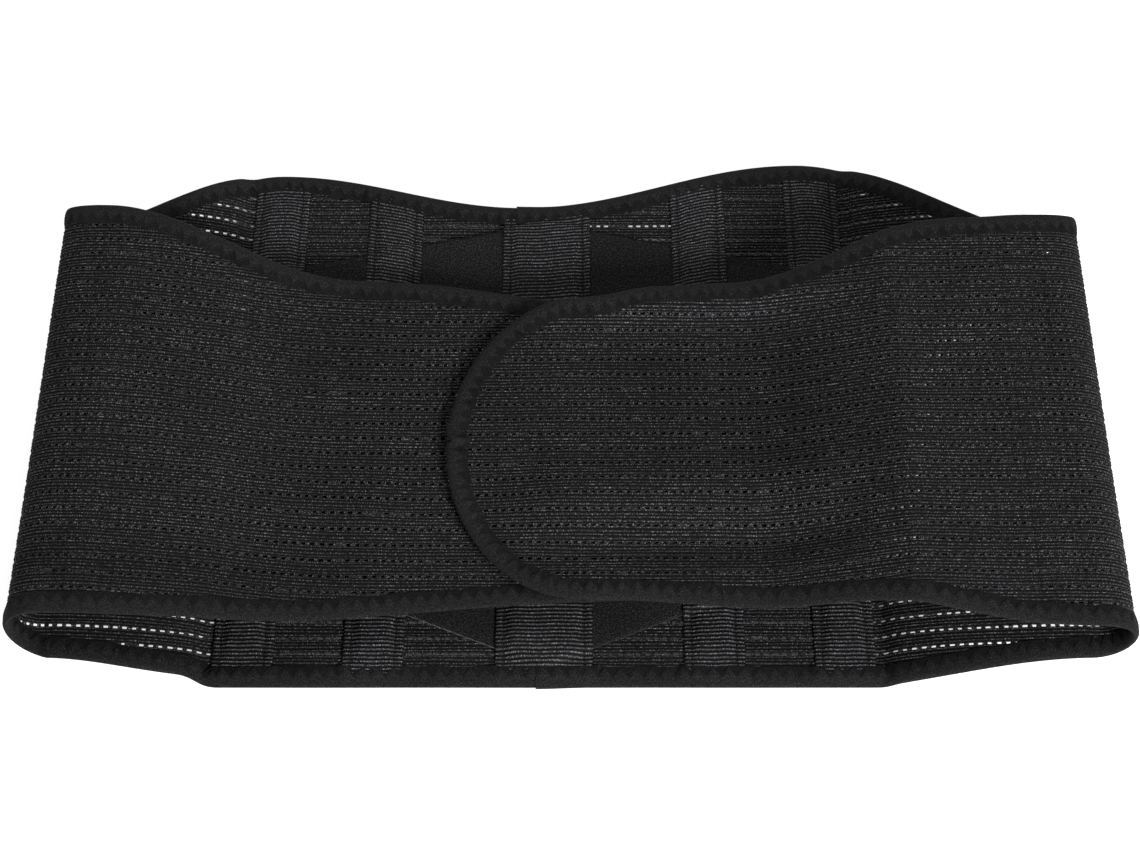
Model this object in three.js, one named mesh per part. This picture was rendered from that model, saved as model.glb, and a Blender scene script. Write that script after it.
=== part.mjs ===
// Lumbar support belt: a perforated elastic body bound all round with tape, worn with its
// back panel over the spine and closed in front by a hook-and-loop flap. It is drawn closed
// and lying on its back panel, as it comes off a shelf.
//
// Millimetres. +X runs along the back panel, +Y from the hip edge to the rib edge, and +Z up
// from the surface that the belt lies on. Every piece of fabric is laid out in belt
// coordinates (along, height, lift): lift is measured from the middle of the elastic.

import * as THREE from 'three';

// Overall size, and how the belt lies
const FOLDED_WIDTH = 463; // over the two side folds, at waist height
const SIDE_TAPER = 0.000227; // the sides close in by this share for each mm of height
const FOLD_RADIUS = 18.2; // middle of the elastic, round a side fold
const BACK_CENTER = -10.7; // the spine line lies a little left of the middle
const CLEARANCE = 0.3; // between pieces that touch

// Elastic body, and the tape that wraps its edge
const ELASTIC_THICKNESS = 1.2;
const BINDING_WIDTH = 10;
const BINDING_FABRIC = 0.8; // thickness of the tape itself

// Heights of the edges, from the waist line
const BACK_TOP_CENTER = 112.5;
const BACK_TOP_PEAK = { left: 129, right: 135.5 };
const BACK_PEAK_OFFSET = 116; // of each peak from the spine line
const BACK_BOTTOM = -124;
const BACK_BOTTOM_STRAIGHT = 150; // the hip edge is straight for this far to each side
const FOLD_TOP = { left: 92, right: 90 };
const FOLD_BOTTOM = { left: -107, right: -110 };
const FRONT_TOP_FOLD = { left: 91, right: 86 };
const FRONT_BOTTOM_FOLD = { left: -106, right: -112 };

// Left front, which lies underneath, and right front, which closes over it
const LEFT_END = 48; // hidden end of the left front
const LEFT_END_HEIGHT = { top: 50, bottom: -90 };
const LEFT_CORNER = 14;
const FLAP_TIP = -53;
const FLAP_LENGTH_OF_ROUND = 58;
const FLAP_HEIGHT = { top: 52, bottom: -92 };
const FLAP_HINGE = 45; // line where the closing flap bends up when it is peeled open
const RIGHT_SHOULDER = 60; // height of the right front's edge past the flap
const LEFT_WAIST = 65; // height of the left front's edge at its middle

// Pad, sleeves and stays
const PAD_THICKNESS = 1.5;
const PAD_HALF_WIDTH = 118;
const PAD_SIDE = { top: 79, bottom: -66 }; // heights at the pad's two upright sides
const PAD_POINT_GAP = { top: 1.5, bottom: 2 }; // from the pad's points to the tape
const PAD_STEP = 4; // length over which a sleeve steps down off the pad
const SLEEVE_WIDTH = 25;
const CENTER_SLEEVE_WIDTH = 40;
const SLEEVE_OFFSETS = { inner: 70, outer: 123.4 };
const SIDE_SLEEVE_GAP = 0.1; // from a side sleeve's edge to the fold's top line
const WEBBING_THICKNESS = 1;
const WEBBING_FLANGE = 3.9; // sewn down along each edge of a sleeve
const STAY_THICKNESS = 1.2;
const STAY_SIDE_ROOM = 6.5; // webbing on each side of a stay
const STAY_END_ROOM = 5; // from the end of a sleeve to the end of its stay
const TIP_WALL = 0.5;
const TIP_LENGTH = 9;

// Hook and loop patches
const PATCH_THICKNESS = 1;
const PATCH_MARGIN = 3; // from the binding's inner edge to the hook patch
const LOOP_INSET = 7; // the loop patch is this much smaller all round than the hook patch

// Derived levels, from the surface that the belt lies on
const HALF_BINDING = ELASTIC_THICKNESS / 2 + CLEARANCE + BINDING_FABRIC;
const HALF_ELASTIC = ELASTIC_THICKNESS / 2;
const BACK_LEVEL = HALF_BINDING;
const FOLD_X = FOLDED_WIDTH / 2 - HALF_BINDING - FOLD_RADIUS;
const FOLD_LEVEL = BACK_LEVEL + 2 * FOLD_RADIUS;
const PAD_RISE = CLEARANCE + PAD_THICKNESS;
const PAD_POINT = {
  top: BACK_TOP_CENTER - BINDING_WIDTH - PAD_POINT_GAP.top,
  bottom: BACK_BOTTOM + BINDING_WIDTH + PAD_POINT_GAP.bottom,
};
const SIDE_SLEEVE_X = FOLD_X - SIDE_SLEEVE_GAP - SLEEVE_WIDTH / 2;
const TIP_RISE = CLEARANCE + TIP_WALL;
const STAY_LOW = HALF_ELASTIC + TIP_RISE + CLEARANCE;
const TUNNEL_ROOF = STAY_LOW + STAY_THICKNESS + TIP_RISE + CLEARANCE;
const SLEEVE_TOP = TUNNEL_ROOF + WEBBING_THICKNESS;
const WAIST_GAP = 5.5; // left open for the body between back and front at the middle
const LEFT_LEVEL = BACK_LEVEL + PAD_RISE + SLEEVE_TOP + WAIST_GAP + HALF_BINDING;
const CLOSURE_GAP = 2 * HALF_ELASTIC + 3 * CLEARANCE + 2 * PATCH_THICKNESS;
const RIGHT_LEVEL = LEFT_LEVEL + CLOSURE_GAP;
const BINDING_REACH = BINDING_FABRIC + CLEARANCE; // from the outer edge to the elastic
const INNER_EDGE = BINDING_WIDTH + 1; // from the outer edge to the sleeves beside the tape

const { lerp, clamp } = THREE.MathUtils;

const material = (color, roughness, metalness = 0) => (
  new THREE.MeshStandardMaterial({ color, roughness, metalness })
);
const elastic = material(0x27272b, 0.92);
const tape = material(0x202024, 0.86);
const webbing = material(0x35353a, 0.72);
const padding = material(0x1d1d20, 0.95);
const steel = material(0xb9bcc0, 0.35, 1);
const vinyl = material(0xe6e6e2, 0.45);
const loopFabric = material(0x1b1b1e, 0.98);
const hookFabric = material(0x18181a, 0.8);

// ---- Shapes ----

// A height that eases from one point to the next, level at each of them.
function eased(points) {
  return (x) => {
    let i = 1;
    while (i < points.length - 1 && x > points[i][0]) i += 1;
    const [x0, y0] = points[i - 1];
    const [x1, y1] = points[i];
    const share = clamp((x - x0) / (x1 - x0), 0, 1);
    return lerp(y0, y1, (1 - Math.cos(Math.PI * share)) / 2);
  };
}

// Height of the cut of a rounded corner: full inside the corner, falling to 0 at the end.
function cornerDrop(x, end, length, depth) {
  const into = clamp(1 - Math.abs(end - x) / length, 0, 1);
  return depth * (1 - Math.sqrt(1 - into * into));
}

const mirrored = (side) => (side === 'left' ? -1 : 1);

// Edges of the back panel, along X.
const backPeak = (side) => BACK_CENTER + mirrored(side) * BACK_PEAK_OFFSET;
const backTop = eased([
  [-FOLDED_WIDTH / 2, FOLD_TOP.left],
  [backPeak('left'), BACK_TOP_PEAK.left],
  [BACK_CENTER, BACK_TOP_CENTER],
  [backPeak('right'), BACK_TOP_PEAK.right],
  [FOLDED_WIDTH / 2, FOLD_TOP.right],
]);
const backBottom = eased([
  [-FOLDED_WIDTH / 2, FOLD_BOTTOM.left],
  [-BACK_BOTTOM_STRAIGHT, BACK_BOTTOM],
  [BACK_BOTTOM_STRAIGHT, BACK_BOTTOM],
  [FOLDED_WIDTH / 2, FOLD_BOTTOM.right],
]);

// Edges and levels of the two fronts, along X.
const leftTop = eased([
  [-FOLD_X, FRONT_TOP_FOLD.left],
  [-95, LEFT_WAIST],
  [LEFT_END, LEFT_END_HEIGHT.top],
]);
const leftBottom = eased([[-FOLD_X, FRONT_BOTTOM_FOLD.left], [LEFT_END, LEFT_END_HEIGHT.bottom]]);
const leftLevel = eased([[-FOLD_X, FOLD_LEVEL], [-85, LEFT_LEVEL], [LEFT_END, LEFT_LEVEL]]);
const flapShoulder = FLAP_TIP + FLAP_LENGTH_OF_ROUND;
const rightTop = eased([
  [flapShoulder, FLAP_HEIGHT.top],
  [40, RIGHT_SHOULDER - 1.5],
  [70, RIGHT_SHOULDER],
  [175, FRONT_TOP_FOLD.right - 1.5],
  [FOLD_X, FRONT_TOP_FOLD.right],
]);
const rightBottom = eased([
  [flapShoulder, FLAP_HEIGHT.bottom],
  [100, FLAP_HEIGHT.bottom - 5],
  [FOLD_X, FRONT_BOTTOM_FOLD.right],
]);
const rightLevel = eased([[72, RIGHT_LEVEL], [150, FOLD_LEVEL], [FOLD_X, FOLD_LEVEL]]);

// Belt coordinates to space. The side folds are half turns about a line that leans inwards.
const leaning = (x, height, z) => new THREE.Vector3(x * (1 - SIDE_TAPER * height), height, z);
const onBack = (along, height, lift) => leaning(along, height, BACK_LEVEL + lift);
const onLeft = (along, height, lift) => leaning(along, height, leftLevel(along) + lift);
const onRight = (along, height, lift) => leaning(along, height, rightLevel(along) + lift);
const onFold = (side) => (along, height, lift) => {
  const angle = along / FOLD_RADIUS - Math.PI / 2;
  const radius = FOLD_RADIUS + lift;
  const x = mirrored(side) * (FOLD_X + radius * Math.cos(angle));
  return leaning(x, height, BACK_LEVEL + FOLD_RADIUS + radius * Math.sin(angle));
};

// Turns a closed geometry's faces outwards.
function outward(geometry) {
  const place = geometry.getAttribute('position');
  const { array } = geometry.index;
  const [a, b, c] = [new THREE.Vector3(), new THREE.Vector3(), new THREE.Vector3()];
  let volume = 0;
  for (let i = 0; i < array.length; i += 3) {
    a.fromBufferAttribute(place, array[i]);
    b.fromBufferAttribute(place, array[i + 1]);
    c.fromBufferAttribute(place, array[i + 2]);
    volume += a.dot(b.cross(c));
  }
  if (volume < 0) {
    for (let i = 0; i < array.length; i += 3) {
      [array[i], array[i + 1]] = [array[i + 1], array[i]];
    }
  }
  geometry.computeVertexNormals();
  return geometry;
}

// A panel between two edges, in even steps along the belt.
function slab({ from, to, steps, low, high, under, over, place }) {
  const geometry = new THREE.BoxGeometry(1, 1, 1, steps, 1, 1);
  const corner = geometry.getAttribute('position');
  for (let i = 0; i < corner.count; i += 1) {
    const along = lerp(from, to, corner.getX(i) + 0.5);
    const height = lerp(low(along), high(along), corner.getY(i) + 0.5);
    const point = place(along, height, lerp(under, over, corner.getZ(i) + 0.5));
    corner.setXYZ(i, point.x, point.y, point.z);
  }
  return outward(geometry);
}

// A solid through rings of points that all have the same number of corners.
function loft(rings, section) {
  const corners = section.length;
  const points = rings.flat();
  const faces = [];
  for (let r = 1; r < rings.length; r += 1) {
    for (let c = 0; c < corners; c += 1) {
      const next = (c + 1) % corners;
      const [a, b] = [(r - 1) * corners + c, (r - 1) * corners + next];
      const [d, e] = [r * corners + c, r * corners + next];
      faces.push(a, b, d, b, e, d);
    }
  }
  const outline = section.map(([across, lift]) => new THREE.Vector2(across, lift));
  const far = (rings.length - 1) * corners;
  THREE.ShapeUtils.triangulateShape(outline, []).forEach(([a, b, c]) => {
    faces.push(c, b, a, far + a, far + b, far + c);
  });
  const geometry = new THREE.BufferGeometry().setFromPoints(points);
  geometry.setIndex(faces);
  return outward(geometry);
}

// Section of the binding: a tape folded round the edge, its opening to the elastic.
const halfSlot = HALF_ELASTIC + CLEARANCE;
const bindingSection = [
  [0, -HALF_BINDING],
  [0, HALF_BINDING],
  [-BINDING_WIDTH, HALF_BINDING],
  [-BINDING_WIDTH, halfSlot],
  [-BINDING_FABRIC, halfSlot],
  [-BINDING_FABRIC, -halfSlot],
  [-BINDING_WIDTH, -halfSlot],
  [-BINDING_WIDTH, -HALF_BINDING],
];

// The binding along a path of (along, height) points, with the elastic on the path's left.
// Its two ends are cut square to the belt, to meet the tape of the next piece.
function binding(path, place) {
  const last = path.length - 1;
  const rings = path.map((point, i) => {
    const run = path[Math.min(i + 1, last)].clone().sub(path[Math.max(i - 1, 0)]);
    if (i === 0 || i === last) run.y = 0;
    run.normalize();
    return bindingSection.map(([out, lift]) => (
      place(point.x + run.y * out, point.y - run.x * out, lift)
    ));
  });
  return loft(rings, bindingSection);
}

// Points along one edge.
function edgePath(from, to, steps, edge) {
  return Array.from({ length: steps + 1 }, (_, i) => {
    const along = lerp(from, to, i / steps);
    return new THREE.Vector2(along, edge(along));
  });
}

// Points round a front's end: along the top, round two corners and back along the bottom.
function endPath({ from, end, length, depth, top, bottom, steps }) {
  const way = Math.sign(end - from);
  const shoulder = end - way * length;
  const turn = (share, edge, down) => {
    const angle = (share * Math.PI) / 2;
    const along = shoulder + way * length * Math.sin(angle);
    return new THREE.Vector2(along, edge(shoulder) - down * depth * (1 - Math.cos(angle)));
  };
  const shares = Array.from({ length: steps.turn }, (_, i) => (i + 1) / steps.turn);
  const path = edgePath(from, shoulder, steps.edge, top);
  path.push(...shares.map((share) => turn(share, top, 1)));
  const back = shares.toReversed().map((share) => turn(share, bottom, -1));
  const meeting = path.at(-1).distanceTo(back[0]) < 1;
  path.push(...(meeting ? back.slice(1) : back));
  path.push(...edgePath(shoulder, from, steps.edge, bottom));
  return path;
}

// A flat piece cut to an outline, lying level between two lifts.
function cut(outline, level, under, over) {
  const shape = new THREE.Shape(outline);
  const depth = over - under;
  const plate = new THREE.ExtrudeGeometry(shape, { depth, bevelEnabled: false });
  plate.deleteAttribute('uv');
  const corner = plate.getAttribute('position');
  for (let i = 0; i < corner.count; i += 1) {
    const lift = under + corner.getZ(i);
    const point = leaning(corner.getX(i), corner.getY(i), level + lift);
    corner.setXYZ(i, point.x, point.y, point.z);
  }
  plate.computeVertexNormals();
  return plate;
}

// ---- The belt, piece by piece ----

const belt = new THREE.Group();

function add(name, geometry, finish) {
  const mesh = new THREE.Mesh(geometry, finish);
  mesh.name = name;
  belt.add(mesh);
}

const seam = CLEARANCE / 2;
const inset = (edge, by) => (x) => edge(x) + by;

function elasticPanel(name, from, to, steps, low, high, place) {
  add(name, slab({
    from,
    to,
    steps,
    low: inset(low, BINDING_REACH),
    high: inset(high, -BINDING_REACH),
    under: -HALF_ELASTIC,
    over: HALF_ELASTIC,
    place,
  }), elastic);
}

// Back panel, with tape along its rib edge and its hip edge.
const backReach = FOLD_X - seam;
const backSteps = 40;
const ribEdge = edgePath(backReach, -backReach, backSteps, backTop);
const hipEdge = edgePath(-backReach, backReach, backSteps, backBottom);
elasticPanel('back_panel', -backReach, backReach, backSteps, backBottom, backTop, onBack);
add('back_top_binding', binding(ribEdge, onBack), tape);
add('back_bottom_binding', binding(hipEdge, onBack), tape);

// Side folds: the stretch of elastic and tape that turns from the back to each front.
const foldLength = Math.PI * FOLD_RADIUS;
['left', 'right'].forEach((side) => {
  const x = mirrored(side) * FOLD_X;
  const front = { left: [leftBottom, leftTop], right: [rightBottom, rightTop] }[side];
  const low = (along) => lerp(backBottom(x), front[0](x), along / foldLength);
  const high = (along) => lerp(backTop(x), front[1](x), along / foldLength);
  const [from, to] = [seam, foldLength - seam];
  elasticPanel(`${side}_side_panel`, from, to, 12, low, high, onFold(side));
  add(`${side}_side_top_binding`, binding(edgePath(to, from, 12, high), onFold(side)), tape);
  add(`${side}_side_bottom_binding`, binding(edgePath(from, to, 12, low), onFold(side)), tape);
});

// Pad: a six-sided cushion of brushed knit on the inside of the back panel.
const padEdge = (edge) => (x) => {
  const out = clamp(Math.abs(x - BACK_CENTER) / PAD_HALF_WIDTH, 0, 1);
  return lerp(PAD_POINT[edge], PAD_SIDE[edge], out);
};
const padTop = padEdge('top');
const padBottom = padEdge('bottom');
const padFloor = HALF_ELASTIC + CLEARANCE;
add('lumbar_pad', cut(
  [
    new THREE.Vector2(BACK_CENTER, PAD_POINT.bottom),
    new THREE.Vector2(BACK_CENTER + PAD_HALF_WIDTH, PAD_SIDE.bottom),
    new THREE.Vector2(BACK_CENTER + PAD_HALF_WIDTH, PAD_SIDE.top),
    new THREE.Vector2(BACK_CENTER, PAD_POINT.top),
    new THREE.Vector2(BACK_CENTER - PAD_HALF_WIDTH, PAD_SIDE.top),
    new THREE.Vector2(BACK_CENTER - PAD_HALF_WIDTH, PAD_SIDE.bottom),
  ],
  BACK_LEVEL,
  padFloor,
  padFloor + PAD_THICKNESS,
), padding);

// How much a strip is raised: not at all, by the whole pad, or stepping up onto the pad.
const flat = () => 0;
const onPad = () => PAD_RISE;
function overPad(x, height) {
  const past = Math.max(height - padTop(x), padBottom(x) - height) - 0.5;
  return PAD_RISE * clamp(1 - past / PAD_STEP, 0, 1);
}

// Heights at which a strip over the pad has a row of corners, from its lower to upper end.
function stripStops(x, low, high) {
  const stops = [
    low,
    padBottom(x) - 0.5 - PAD_STEP,
    padBottom(x) - 0.5,
    padTop(x) + 0.5,
    padTop(x) + 0.5 + PAD_STEP,
    high,
  ];
  return stops.map((stop, i) => clamp(stop, low + 0.1 * i, high - 0.1 * (stops.length - 1 - i)));
}

// A strip running up the belt at one place, with a section of [across, lift] corners.
function strip({ x, section, low, high, place, raise, way }) {
  const columns = section.map(([across, lift]) => {
    const along = x + across;
    const ends = [low(along), high(along)];
    const stops = raise === overPad ? stripStops(along, ...ends) : ends;
    return stops.map((height) => place(along, height, way * (lift + raise(along, height))));
  });
  const rings = columns[0].map((_, i) => columns.map((column) => column[i]));
  return loft(rings, section);
}

// Section of a webbing sleeve: sewn flat along both edges, arched over its stay.
function sleeveSection(width) {
  const edge = width / 2;
  const foot = edge - WEBBING_FLANGE;
  const roof = foot - 1.4;
  const floor = HALF_ELASTIC + CLEARANCE;
  return [
    [-edge, floor],
    [-foot, floor],
    [-roof, TUNNEL_ROOF],
    [0, TUNNEL_ROOF],
    [roof, TUNNEL_ROOF],
    [foot, floor],
    [edge, floor],
    [edge, floor + WEBBING_THICKNESS],
    [foot + WEBBING_THICKNESS, floor + WEBBING_THICKNESS],
    [roof + WEBBING_THICKNESS, SLEEVE_TOP],
    [0, SLEEVE_TOP],
    [-roof - WEBBING_THICKNESS, SLEEVE_TOP],
    [-foot - WEBBING_THICKNESS, floor + WEBBING_THICKNESS],
    [-edge, floor + WEBBING_THICKNESS],
  ];
}

function boxSection(width, low, high) {
  const half = width / 2;
  return [[-half, low], [0, low], [half, low], [half, high], [0, high], [-half, high]];
}

// Stay tip: a vinyl clip folded round the end of a stay.
function tip({ x, width, end, inwards, place, raise, way }) {
  const half = width / 2;
  const wall = TIP_WALL;
  const low = STAY_LOW - CLEARANCE - wall;
  const high = STAY_LOW + STAY_THICKNESS + CLEARANCE + wall;
  const section = [
    [-wall - CLEARANCE, low],
    [TIP_LENGTH, low],
    [TIP_LENGTH, low + wall],
    [-CLEARANCE, low + wall],
    [-CLEARANCE, high - wall],
    [TIP_LENGTH, high - wall],
    [TIP_LENGTH, high],
    [-wall - CLEARANCE, high],
  ];
  const rings = [-half, 0, half].map((across) => section.map(([into, lift]) => {
    const height = end(x + across) + inwards * into;
    return place(x + across, height, way * (lift + raise(x + across, height)));
  }));
  return loft(rings, section);
}

// A straight line across a sleeve that stays inside an edge. Inwards is 1 above a low edge.
function straightened(edge, x, width, inwards) {
  const [left, right] = [edge(x - width / 2), edge(x + width / 2)];
  const bow = inwards * Math.max(0, inwards * (edge(x) - (left + right) / 2));
  return (along) => lerp(left, right, (along - x) / width + 0.5) + bow + inwards * INNER_EDGE;
}

// A sleeve, its stay and the stay's two tips.
function stayPocket({ name, x, width, low, high, place, raise, way }) {
  const stayWidth = width - 2 * STAY_SIDE_ROOM;
  const sleeveLow = straightened(low, x, width, 1);
  const sleeveHigh = straightened(high, x, width, -1);
  const stayLow = inset(sleeveLow, STAY_END_ROOM);
  const stayHigh = inset(sleeveHigh, -STAY_END_ROOM);
  const common = { x, place, raise, way };
  add(`${name}_sleeve`, strip({
    ...common, section: sleeveSection(width), low: sleeveLow, high: sleeveHigh,
  }), webbing);
  add(`${name}_stay`, strip({
    ...common,
    section: boxSection(stayWidth, STAY_LOW, STAY_LOW + STAY_THICKNESS),
    low: stayLow,
    high: stayHigh,
  }), steel);
  const cap = { ...common, width: stayWidth + 1 };
  add(`${name}_stay_bottom_tip`, tip({ ...cap, end: stayLow, inwards: 1 }), vinyl);
  add(`${name}_stay_top_tip`, tip({ ...cap, end: stayHigh, inwards: -1 }), vinyl);
}

const backPockets = [
  ['left_outer', -SLEEVE_OFFSETS.outer, SLEEVE_WIDTH, overPad],
  ['left_inner', -SLEEVE_OFFSETS.inner, SLEEVE_WIDTH, overPad],
  ['center', 0, CENTER_SLEEVE_WIDTH, onPad],
  ['right_inner', SLEEVE_OFFSETS.inner, SLEEVE_WIDTH, overPad],
  ['right_outer', SLEEVE_OFFSETS.outer, SLEEVE_WIDTH, overPad],
];
backPockets.forEach(([name, offset, width, raise]) => {
  stayPocket({
    name,
    x: BACK_CENTER + offset,
    width,
    low: backBottom,
    high: backTop,
    place: onBack,
    raise,
    way: 1,
  });
});

// Left front, with its tape running round its hidden end, a stay pocket beside the fold
// and the loop patch that the flap presses on.
const leftFrom = -FOLD_X + seam;
const leftInset = { end: LEFT_END - BINDING_REACH, corner: LEFT_CORNER - BINDING_REACH };
const leftDrop = (x) => cornerDrop(x, leftInset.end, leftInset.corner, leftInset.corner);
elasticPanel(
  'left_front_panel',
  leftFrom,
  leftInset.end,
  48,
  (x) => leftBottom(x) + leftDrop(x),
  (x) => leftTop(x) - leftDrop(x),
  onLeft,
);
const leftRound = {
  from: leftFrom,
  end: LEFT_END,
  length: LEFT_CORNER,
  depth: LEFT_CORNER,
  top: leftTop,
  bottom: leftBottom,
  steps: { edge: 22, turn: 5 },
};
add('left_front_binding', binding(endPath(leftRound).toReversed(), onLeft), tape);
stayPocket({
  name: 'left_side',
  x: -SIDE_SLEEVE_X,
  width: SLEEVE_WIDTH,
  low: leftBottom,
  high: leftTop,
  place: onLeft,
  raise: flat,
  way: -1,
});

// Right front: a panel up to the flap's bending line, and a stay pocket beside the fold.
const rightFrom = FLAP_HINGE + seam;
const rightTo = FOLD_X - seam;
elasticPanel('right_front_panel', rightFrom, rightTo, 24, rightBottom, rightTop, onRight);
add('right_front_top_binding', binding(edgePath(rightTo, rightFrom, 24, rightTop), onRight), tape);
add(
  'right_front_bottom_binding',
  binding(edgePath(rightFrom, rightTo, 24, rightBottom), onRight),
  tape,
);
stayPocket({
  name: 'right_side',
  x: SIDE_SLEEVE_X,
  width: SLEEVE_WIDTH,
  low: rightBottom,
  high: rightTop,
  place: onRight,
  raise: flat,
  way: -1,
});

// Closing flap: a round-ended tongue with its tape, and the hook patch on its underside.
const flapFrom = FLAP_HINGE - seam;
const flapRound = {
  from: flapFrom,
  end: FLAP_TIP,
  length: FLAP_LENGTH_OF_ROUND,
  depth: (FLAP_HEIGHT.top - FLAP_HEIGHT.bottom) / 2,
  top: rightTop,
  bottom: rightBottom,
  steps: { edge: 4, turn: 14 },
};
const insetFlap = (by, from) => endPath({
  ...flapRound,
  from,
  end: FLAP_TIP + by,
  length: FLAP_LENGTH_OF_ROUND - by,
  depth: flapRound.depth - by,
  top: inset(rightTop, -by),
  bottom: inset(rightBottom, by),
});
add('closure_panel', cut(
  insetFlap(BINDING_REACH, flapFrom),
  RIGHT_LEVEL,
  -HALF_ELASTIC,
  HALF_ELASTIC,
), elastic);
add('closure_binding', binding(endPath(flapRound), onRight), tape);

const patchInset = BINDING_WIDTH + PATCH_MARGIN;
const hookTop = -HALF_ELASTIC - CLEARANCE;
add('hook_patch', cut(
  insetFlap(patchInset, FLAP_HINGE - patchInset),
  RIGHT_LEVEL,
  hookTop - PATCH_THICKNESS,
  hookTop,
), hookFabric);

const loopLow = HALF_ELASTIC + CLEARANCE;
add('loop_patch', cut(
  insetFlap(patchInset + LOOP_INSET, LEFT_END - patchInset),
  LEFT_LEVEL,
  loopLow,
  loopLow + PATCH_THICKNESS,
), loopFabric);

// The origin is under the middle of the belt's box.
belt.position.y = -(BACK_TOP_PEAK.right + BACK_BOTTOM) / 2;

export default belt;
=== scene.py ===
"""Looks of the lumbar support belt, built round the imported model.

Sizes are in millimetres in belt coordinates (along, height, out): along runs round the belt
from the middle of the back to a front's end, height from the waist line, and out is measured
from the middle of the elastic, towards the belt's outer face. The two halves of the belt are
named left and right, as the wings are.
"""

import math

import bpy
import numpy as np
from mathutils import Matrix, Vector


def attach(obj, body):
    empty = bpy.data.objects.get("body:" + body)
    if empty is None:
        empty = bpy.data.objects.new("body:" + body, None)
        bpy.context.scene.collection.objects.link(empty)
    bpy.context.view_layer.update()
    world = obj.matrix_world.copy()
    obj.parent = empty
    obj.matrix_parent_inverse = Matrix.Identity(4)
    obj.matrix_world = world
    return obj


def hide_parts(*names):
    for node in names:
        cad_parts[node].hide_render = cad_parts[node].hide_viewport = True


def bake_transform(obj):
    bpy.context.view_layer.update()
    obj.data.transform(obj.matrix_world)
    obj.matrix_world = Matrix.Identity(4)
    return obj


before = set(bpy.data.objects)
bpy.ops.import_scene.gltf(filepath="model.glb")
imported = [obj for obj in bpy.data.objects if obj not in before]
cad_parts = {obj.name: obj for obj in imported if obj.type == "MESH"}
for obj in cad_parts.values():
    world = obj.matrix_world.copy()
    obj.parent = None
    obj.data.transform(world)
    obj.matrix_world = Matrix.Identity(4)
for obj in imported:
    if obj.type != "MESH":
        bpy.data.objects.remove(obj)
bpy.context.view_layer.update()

MM = 0.001

# ---- Sizes of the belt, as in the model ----
FOLDED_WIDTH = 463
SIDE_TAPER = 0.000227
FOLD_RADIUS = 18.2
BACK_CENTER = -10.7
BACK_LEVEL = 1.7
FOLD_X = FOLDED_WIDTH / 2 - BACK_LEVEL - FOLD_RADIUS
FOLD_LEVEL = BACK_LEVEL + 2 * FOLD_RADIUS
FOLD_MIDDLE = BACK_LEVEL + FOLD_RADIUS
FOLD_LENGTH = math.pi * FOLD_RADIUS
ARC_MIDDLE = FOLD_X + FOLD_LENGTH / 2  # along the belt, the outermost line of a fold
LEFT_LEVEL = 15.7
RIGHT_LEVEL = 19.8
BACK_DIP = -22
BACK_PEAK = {"left": -135, "right": 107}
BACK_TOP = {"center": 112.5, "left": 129.5, "right": 135.5}
BACK_BOTTOM = -124
FLAP_TIP = -53
FLAP_ROUND = 58
FLAP_TOP, FLAP_BOTTOM = 52, -92
LEFT_END = 48
LEFT_CORNER = 14
HEIGHT_SHIFT = -(BACK_TOP["right"] + BACK_BOTTOM) / 2  # waist line, in the frame
FRONT_END = {  # tip, length and depth of each front's rounded end
    "left": (LEFT_END, LEFT_CORNER, LEFT_CORNER),
    "right": (FLAP_TIP, FLAP_ROUND, (FLAP_TOP - FLAP_BOTTOM) / 2),
}

# ---- How the cloth lies, which the plain model leaves out ----
FOLD_RISE = 14  # of the back's cloth off the table, at the start of a fold
RIB_SLACK = 0.25  # share of it that the right half loses towards its rib edge
RISE_LENGTH = 28
MIDDLE_RISE = {"hip": 9, "rib": 12.5}  # of a fold's outermost line
FOLD_TIGHT = 2.8  # how much less far a fold reaches than a half-round one

# ---- Fabric ----
ROW_PITCH = 7.3  # from one row of holes to the next
HOLE_PITCH = 3.75
HOLE = 1.8
HOLE_HEIGHT = 1.2
CLOSED_HOLES = 0.06  # share of the holes
HOLE_FREE_EDGE = 6.5
UNDER_TAPE = 3.2  # from the belt's edge to the cloth's, inside the folded tape
RIBS_PER_ROW = 4
ELASTIC_HALF = 0.42
RIB_HEIGHT = 0.38
TAPE_WIDTH = 9.4
SLEEVE_WIDTH = 25
CENTER_SLEEVE_WIDTH = 40
SLEEVE_OFFSETS = {"inner": 70, "outer": 123.4}
WEBBING_RIB = 1.75
WEBBING_HALF = 0.45
PAD_HALF_WIDTH = 118
PAD_THICKNESS = 1.7
STITCH_MARGIN = 3.4  # of a sleeve's stitching from its edge
SIDE_SLEEVE_X = FOLD_X - 0.1 - SLEEVE_WIDTH / 2

MIRROR = {"left": -1, "right": 1}


def eased(points):
    """A height that eases from one point to the next, level at each of them."""
    xs, ys = (np.array(v, float) for v in zip(*points))

    def height(x):
        x = np.asarray(x, float)
        i = np.clip(np.searchsorted(xs, x) - 1, 0, len(xs) - 2)
        share = np.clip((x - xs[i]) / (xs[i + 1] - xs[i]), 0, 1)
        return ys[i] + (ys[i + 1] - ys[i]) * (1 - np.cos(np.pi * share)) / 2

    return height


def smooth(x, low, high):
    share = np.clip((x - low) / (high - low), 0, 1)
    return share * share * (3 - 2 * share)


def hump(x, middle, spread):
    """A bump that is 1 at its middle and fades on both sides."""
    return np.exp(-((x - middle) / spread) ** 2)


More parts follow.
